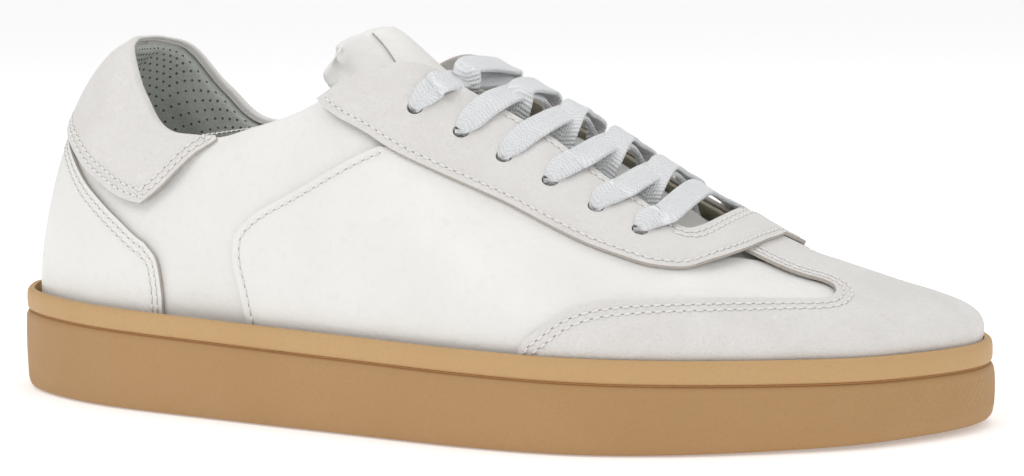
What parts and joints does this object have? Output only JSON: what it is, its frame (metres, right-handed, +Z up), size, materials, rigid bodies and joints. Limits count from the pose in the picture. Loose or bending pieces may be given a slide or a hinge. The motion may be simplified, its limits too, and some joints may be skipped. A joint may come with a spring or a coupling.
{
  "type": "court shoe",
  "caption": "Low-cut leather and suede lace-up court shoe for the right foot, on a rubber cupsole, with a padded collar and a padded tongue that folds back into the mouth.",
  "frame": {"origin": "centre of the flat underside of the sole, under the middle of the shoe's length", "axes": "+X from heel to toe, +Y towards the medial (inner) side, +Z up; the shoe stands on z = 0"},
  "size_m": [0.3, 0.1187, 0.1117],
  "materials": {
    "gum_rubber": "matte moulded gum rubber",
    "sole_foam": "foam",
    "board": "stiffened fibre sheet",
    "white_leather": "smooth full-grain, off white",
    "suede": "short-nap suede, warm light grey",
    "lining_cloth": "perforated soft lining",
    "padding": "open-cell foam",
    "backing": "split leather backing",
    "lace_cloth": "flat woven lace",
    "aglet_plastic": "clear film tip"
  },
  "bodies": {
    "shoe": {"outsole_cup": "gum_rubber", "foxing_band": "gum_rubber", "midsole_foam": "sole_foam", "insole_board": "board", "footbed": "lining_cloth", "rear_quarter_lateral": "white_leather", "rear_quarter_medial": "white_leather", "front_quarter_lateral": "white_leather", "front_quarter_medial": "white_leather", "heel_cover": "white_leather", "collar_patch": "suede", "heel_counter": "board", "vamp": "white_leather", "toe_puff": "board", "vamp_lining": "lining_cloth", "toe_guard": "suede", "eyestay": "suede", "facing_lateral": "backing", "facing_medial": "backing", "quarter_lining_lateral": "lining_cloth", "quarter_lining_medial": "lining_cloth", "heel_lining": "lining_cloth", "collar_foam": "padding", "lace": "lace_cloth", "aglet_lateral": "aglet_plastic", "aglet_medial": "aglet_plastic"},
    "tongue": {"tongue_outer": "white_leather", "tongue_foam": "padding", "tongue_lining": "lining_cloth", "tongue_label": "white_leather", "lace_keeper": "white_leather"}
  },
  "joints": [
    {"name": "tongue_fold", "type": "hinge", "parent": "shoe", "child": "tongue", "pos_m": [0.086, 0.008, 0.044], "axis": [0, 1, 0], "range_deg": [-10, 0]}
  ]
}
